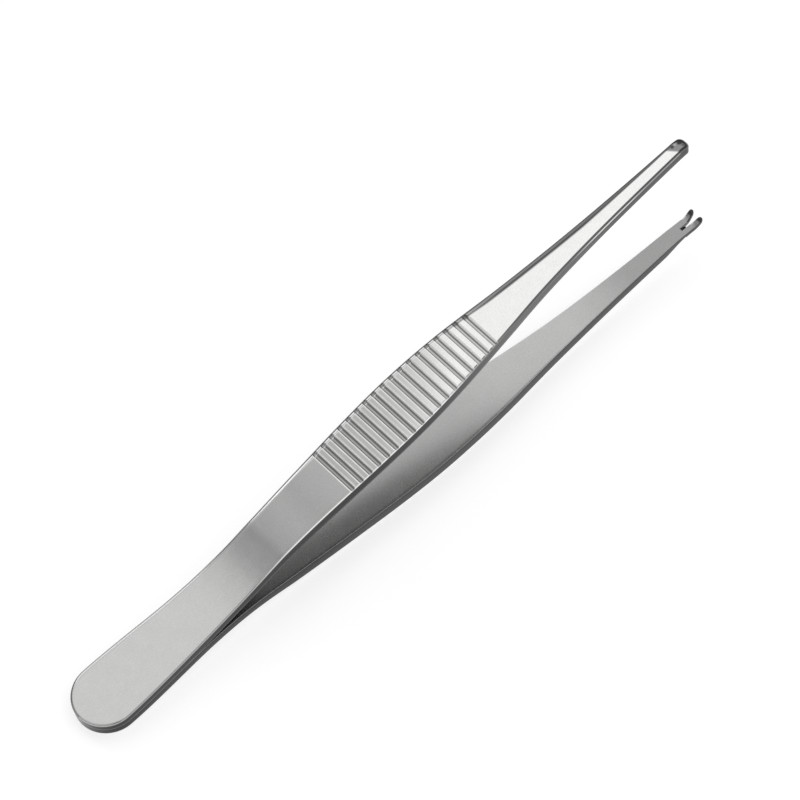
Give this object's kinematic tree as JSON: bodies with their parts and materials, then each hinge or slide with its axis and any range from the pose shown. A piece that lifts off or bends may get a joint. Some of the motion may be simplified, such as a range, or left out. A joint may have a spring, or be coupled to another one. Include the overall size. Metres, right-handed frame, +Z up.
{
  "type": "thumb forceps",
  "caption": "Sprung tissue forceps: slim steel arms joined at the heel, cross-grooved finger grips and fine interlocking teeth at the tip.",
  "frame": {"origin": "middle of the bounding box, on the surface that the forceps lie on", "axes": "+X from the heel towards the tips, +Y across the arms' width, +Z up from the lower arm to the upper arm"},
  "size_m": [0.1406, 0.012, 0.0295],
  "materials": {
    "satin_steel": "satin, with polished edges"
  },
  "bodies": {
    "root": {"single_tooth_arm": "satin_steel", "two_tooth_arm": "satin_steel"}
  },
  "joints": []
}
